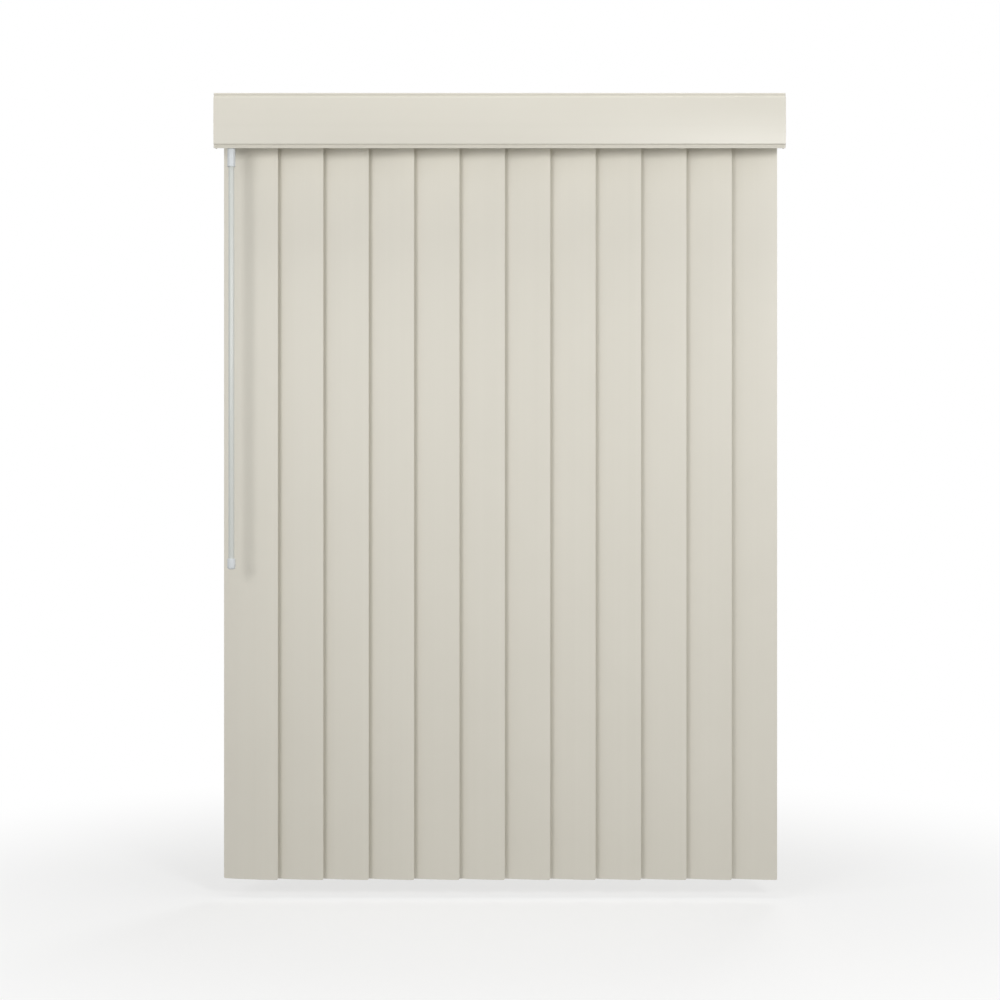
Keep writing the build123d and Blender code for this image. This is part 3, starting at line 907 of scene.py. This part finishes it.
    def build(self, paint: Paint) -> None:
        """Makes and dresses the valance.

        Args:
            paint: the materials.
        """
        tree = self.tree()
        same = {"Front Y": self.front, "Material": paint.materials[Slot.VALANCE]}
        half, inner, ribs = self.half_width, self.half_width - self.wall, self.half_width - self.rib_end
        side = half - self.return_inset
        upper = self.hook(self.top - self.rib_inset, -1)
        lower = self.hook(self.top - self.height + self.rib_inset, 1)
        strips = [
            ("valance_panel", self.section(), -half, half),
            ("valance_return_left", self.return_section(), -side, -inner),
            ("valance_return_right", self.return_section(), inner, side),
            ("valance_rib_upper", upper, -ribs, ribs),
            ("valance_rib_lower", lower, -ribs, ribs),
        ]
        for name, outline, start, end in strips:
            obj = self.strip(name, outline)
            grow(obj, tree, {**same, "Start X": start, "Length": end - start})
            self.edge.apply(obj)
            paint.coat(obj, Slot.VALANCE)
            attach(obj, "headrail")
            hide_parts("valance")
            log.info("%s: %d faces", obj.name, len(obj.data.polygons))


@dataclass
class Wand:
    """The control wand: a sleeve with a fork and pin, the rod in its socket, and the tip."""

    x: float = -419.0 * MM
    y: float = -52.5 * MM
    eye: float = -62.2 * MM
    shoulder: float = -69.0 * MM
    sleeve_foot: float = -114.4 * MM
    sleeve_radius: float = 6.2 * MM
    socket_top: float = -92.4 * MM
    rod_radius: float = 4.5 * MM
    rod_top: float = -92.6 * MM
    rod_foot: float = -735.0 * MM
    tip_head: float = -726.2 * MM
    tip_foot: float = -743.0 * MM
    tip_socket: float = -735.2 * MM
    rounding: float = 0.8 * MM
    tip_rounding: float = 3.2 * MM
    glue: float = 0.02 * MM
    eye_thickness: float = 3.0 * MM
    fork_gap: float = 0.3 * MM
    ear: float = 2.4 * MM
    ear_radius: float = 3.2 * MM
    pin_radius: float = 1.5 * MM
    mouth_rounding: float = 0.15 * MM
    rod_rounding: float = 0.3 * MM
    ear_runs: int = 24
    pin_runs: int = 32
    tip_runs: int = 8
    crease: float = 38.0
    fork_edge: SoftEdge = SoftEdge(0.22 * MM, 2)

    def dress(
        self, shape: bmesh.types.BMesh, node: str, slot: Slot, paint: Paint, edge: Optional[SoftEdge] = None
    ) -> None:
        """Finishes one piece of the wand and lets it stand for its node.

        Args:
            shape: the piece.
            node: the node it stands for.
            slot: its finish.
            paint: the materials.
            edge: the rounding of its edges, where the profile has none.
        """
        obj = store(shape, f"{node}_turned")
        if edge:
            edge.apply(obj)
        else:
            obj.data.shade_smooth()
            obj.data.set_sharp_from_angle(angle=math.radians(self.crease))
        paint.coat(obj, slot)
        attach(obj, "wand")
        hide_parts(node)
        log.info("%s: %d faces", obj.name, len(obj.data.polygons))

    def sleeve(self) -> bmesh.types.BMesh:
        """Makes the sleeve with its two ears and the pin between them.

        Returns:
            The closed shapes.
        """
        bore = self.rod_radius + self.glue
        corners = [
            (0.0, self.socket_top, 0.0),
            (bore, self.socket_top, 0.0),
            (bore, self.sleeve_foot, self.mouth_rounding),
            (self.sleeve_radius, self.sleeve_foot, self.rounding),
            (self.sleeve_radius, self.shoulder, self.rounding),
            (0.0, self.shoulder, 0.0),
        ]
        shape = turned(rounded(corners, False), self.x, self.y)
        inner = self.eye_thickness / 2 + self.fork_gap
        for side in (-1, 1):
            over = circle(self.ear_radius, 2 * self.ear_runs)[: self.ear_runs + 1]
            outline = [(across, self.eye + up) for across, up in over]
            base = self.shoulder - self.rounding
            outline += [(-self.ear_radius, base), (self.ear_radius, base)]
            near = self.y + side * inner
            points = [Vector((self.x + across, near, up)) for across, up in outline]
            prism(shape, points, Vector((0.0, side * self.ear, 0.0)))
        reach = inner + self.ear
        pin = circle(self.pin_radius, self.pin_runs)
        points = [Vector((self.x + across, self.y - reach, self.eye + up)) for across, up in pin]
        prism(shape, points, Vector((0.0, 2 * reach, 0.0)))
        return shape

    def rod(self) -> bmesh.types.BMesh:
        """Makes the rod.

        Returns:
            The closed shape.
        """
        corners = [
            (0.0, self.rod_foot, 0.0),
            (self.rod_radius, self.rod_foot, self.rod_rounding),
            (self.rod_radius, self.rod_top, self.rod_rounding),
            (0.0, self.rod_top, 0.0),
        ]
        return turned(rounded(corners, False), self.x, self.y)

    def tip(self) -> bmesh.types.BMesh:
        """Makes the tip, round below and open above for the rod.

        Returns:
            The closed shape.
        """
        bore = self.rod_radius + self.glue
        corners = [
            (0.0, self.tip_foot, 0.0),
            (self.sleeve_radius, self.tip_foot, self.tip_rounding),
            (self.sleeve_radius, self.tip_head, self.rounding),
            (bore, self.tip_head, self.mouth_rounding),
            (bore, self.tip_socket, 0.0),
            (0.0, self.tip_socket, 0.0),
        ]
        return turned(rounded(corners, False, self.tip_runs), self.x, self.y)

    def build(self, paint: Paint) -> None:
        """Makes and dresses the wand's three pieces.

        Args:
            paint: the materials.
        """
        self.dress(self.sleeve(), "wand_sleeve", Slot.FITTING, paint, self.fork_edge)
        self.dress(self.rod(), "wand_rod", Slot.WAND, paint)
        self.dress(self.tip(), "wand_tip", Slot.FITTING, paint)


@dataclass
class Works:
    """The rail and what runs in it: the source's own shapes, most with their edges softened."""

    count: int = 12
    flat_angle: float = 0.4
    rail_edge: SoftEdge = SoftEdge(0.25 * MM, 2)
    moulded_edge: SoftEdge = SoftEdge(0.18 * MM, 2)
    small_edge: SoftEdge = SoftEdge(0.1 * MM, 2)

    def soften(self, node: str, slot: Slot, edge: SoftEdge, paint: Paint) -> None:
        """Lets a copy with softened edges stand for a node.

        Args:
            node: the node.
            slot: its finish.
            edge: the rounding of its edges.
            paint: the materials.
        """
        shape = bmesh.new()
        shape.from_mesh(frame["nodes"][node].data)
        bmesh.ops.remove_doubles(shape, verts=shape.verts, dist=WELD)
        flat = math.radians(self.flat_angle)
        bmesh.ops.dissolve_limit(shape, angle_limit=flat, verts=shape.verts, edges=shape.edges)
        mesh = bpy.data.meshes.new(node)
        shape.to_mesh(mesh)
        shape.free()
        stale = mesh.attributes.get("custom_normal")
        if stale:
            mesh.attributes.remove(stale)
        obj = linked(f"{node}_finished", mesh)
        edge.apply(obj)
        paint.coat(obj, slot)
        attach(obj, frame["nodes"][node]["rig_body"])
        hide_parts(node)
        log.info("%s: %d faces", obj.name, len(obj.data.polygons))

    def keep(self, node: str, slot: Slot, paint: Paint) -> None:
        """Gives a node that keeps its own shape its finish."""
        paint.coat(frame["nodes"][node], slot)
        log.info("%s: kept", node)

    def build(self, paint: Paint) -> None:
        """Dresses the rail, its fittings, the carriers, the hangers and the gearing.

        Args:
            paint: the materials.
        """
        self.soften("headrail", Slot.RAIL, self.rail_edge, paint)
        self.soften("end_cap_left", Slot.CAP, self.rail_edge, paint)
        self.soften("end_cap_right", Slot.CAP, self.rail_edge, paint)
        self.soften("mounting_brackets", Slot.BRACKET, self.rail_edge, paint)
        self.soften("valance_clips", Slot.CLIP, self.moulded_edge, paint)
        for number in range(1, self.count + 1):
            self.soften(f"carrier_{number:02d}", Slot.CARRIER, self.moulded_edge, paint)
            self.soften(f"hanger_{number:02d}", Slot.HANGER, self.small_edge, paint)
            self.keep(f"worm_{number:02d}", Slot.GEAR, paint)
        self.keep("tilt_rod", Slot.ROD, paint)
        self.keep("cross_shaft", Slot.GEAR, paint)
        self.soften("wand_stub", Slot.FITTING, self.small_edge, paint)


@dataclass(frozen=True)
class Lamp:
    """A soft lamp: its name, its place, where it points, its two sides and its power."""

    name: str
    place: tuple[float, float, float]
    aim: tuple[float, float, float]
    sides: tuple[float, float]
    power: float

    def hang(self) -> None:
        """Puts the lamp in the scene, out of the camera's sight."""
        lamp = bpy.data.lights.new(self.name, "AREA")
        lamp.shape = "RECTANGLE"
        lamp.size, lamp.size_y = self.sides
        lamp.energy = self.power
        obj = bpy.data.objects.new(self.name, lamp)
        obj.location = self.place
        obj.rotation_euler = (Vector(self.aim) - Vector(self.place)).to_track_quat("-Z", "Y").to_euler()
        obj.visible_camera = False
        bpy.context.scene.collection.objects.link(obj)


@dataclass
class Studio:
    """The floor, the soft light and the camera."""

    floor_gap: float = 0.03
    floor_size: float = 12.0
    floor_fade: tuple[float, float] = (0.4, 1.4)
    floor_glow: float = 0.55
    floor_colour: Colour = (0.86, 0.86, 0.85)
    floor_bounce: Colour = (0.5, 0.5, 0.5)
    ambient: float = 0.4
    lamps: tuple[Lamp, ...] = (
        Lamp("key", (0.7, -1.9, -0.1), (0.0, 0.0, -0.5), (0.4, 0.4), 14.0),
        Lamp("fill", (-1.15, -2.0, -0.15), (0.0, 0.0, -0.5), (0.7, 0.7), 10.6),
        Lamp("top", (0.05, -0.33, 1.1), (0.0, -0.06, 0.0), (2.2, 0.3), 10.0),
        Lamp("back", (0.9, 2.2, 0.4), (0.0, 0.0, -0.5), (0.8, 0.8), 18.0),
    )
    camera_place: tuple[float, float, float] = (0.0005, -3.0, -0.6348)
    lens: float = 67.94

    def seen(self, graph: Graph) -> bpy.types.NodeSocket:
        """Tells rays that show the background from rays that only carry light.

        Args:
            graph: the graph of the material or world.

        Returns:
            1 for rays from the camera, in gloss and through clear plastic, otherwise 0.
        """
        path = graph.add("ShaderNodeLightPath").outputs
        shown = graph.math("MAXIMUM", path["Is Camera Ray"], path["Is Glossy Ray"])
        return graph.math("MAXIMUM", shown, path["Is Transmission Ray"])

    def world(self) -> None:
        """Makes the soft light from all round and the white that is seen behind the object."""
        sky = bpy.data.worlds.new("studio")
        sky.use_nodes = True
        sky.node_tree.nodes.clear()
        graph = Graph(sky.node_tree)
        strength = graph.spread(self.seen(graph), self.ambient, 1.0)
        light = graph.add("ShaderNodeBackground", None, {"Color": (1.0, 1.0, 1.0, 1.0), "Strength": strength})
        graph.add("ShaderNodeOutputWorld", None, {"Surface": light.outputs[0]})
        bpy.context.scene.world = sky

    def floor(self) -> None:
        """Makes the pale floor, which fades into the white round it."""
        shape = bmesh.new()
        bmesh.ops.create_grid(shape, x_segments=1, y_segments=1, size=self.floor_size / 2)
        level = CAD_BOX[0].z - self.floor_gap
        for vert in shape.verts:
            vert.co.z = level
        mesh = bpy.data.meshes.new("floor")
        shape.to_mesh(mesh)
        shape.free()
        obj = linked("floor", mesh)
        made = bpy.data.materials.new("pale_floor")
        made.use_nodes = True
        made.node_tree.nodes.clear()
        graph = Graph(made.node_tree)
        place = graph.add("ShaderNodeTexCoord").outputs["Object"]
        flat = graph.vector("MULTIPLY", place, (1.0, 1.0, 0.0))
        distance = graph.add("ShaderNodeVectorMath", {"operation": "LENGTH"}, {0: flat}).outputs["Value"]
        inputs = {0: distance, 1: self.floor_fade[0], 2: self.floor_fade[1], 3: self.floor_glow, 4: 1.0}
        fade = graph.add("ShaderNodeMapRange", {"interpolation_type": "SMOOTHSTEP"}, inputs).outputs[0]
        shown = self.seen(graph)
        colour = graph.blend(shown, (*self.floor_bounce, 1.0), (*self.floor_colour, 1.0))
        pale = graph.add("ShaderNodeBsdfDiffuse", None, {"Color": colour})
        white = graph.add("ShaderNodeEmission", None, {"Color": (1.0, 1.0, 1.0, 1.0), "Strength": 1.0})
        factor = graph.math("MULTIPLY", fade, shown)
        mixed = graph.add("ShaderNodeMixShader", None, {0: factor, 1: pale.outputs[0], 2: white.outputs[0]})
        graph.add("ShaderNodeOutputMaterial", None, {"Surface": mixed.outputs[0]})
        obj.data.materials.append(made)

    def camera(self) -> None:
        """Sets the camera square on, level with the middle of the vanes."""
        lens = bpy.data.cameras.new("camera")
        lens.lens = self.lens
        lens.sensor_width = 36.0
        lens.clip_end = 100.0
        obj = bpy.data.objects.new("camera", lens)
        obj.location = self.camera_place
        obj.rotation_euler = (math.pi / 2, 0.0, 0.0)
        bpy.context.scene.collection.objects.link(obj)
        bpy.context.scene.camera = obj

    def build(self) -> None:
        """Sets up the studio."""
        bpy.context.scene.view_settings.view_transform = "Standard"
        self.world()
        self.floor()
        for lamp in self.lamps:
            lamp.hang()
        self.camera()


def main() -> None:
    """Builds the blind and the studio."""
    logging.basicConfig(level=logging.INFO, format="%(message)s")
    paint = Paint(FINISHES)
    Vanes().build(paint)
    Valance().build(paint)
    Wand().build(paint)
    Works().build(paint)
    Studio().build()


if __name__ == "__main__":
    main()
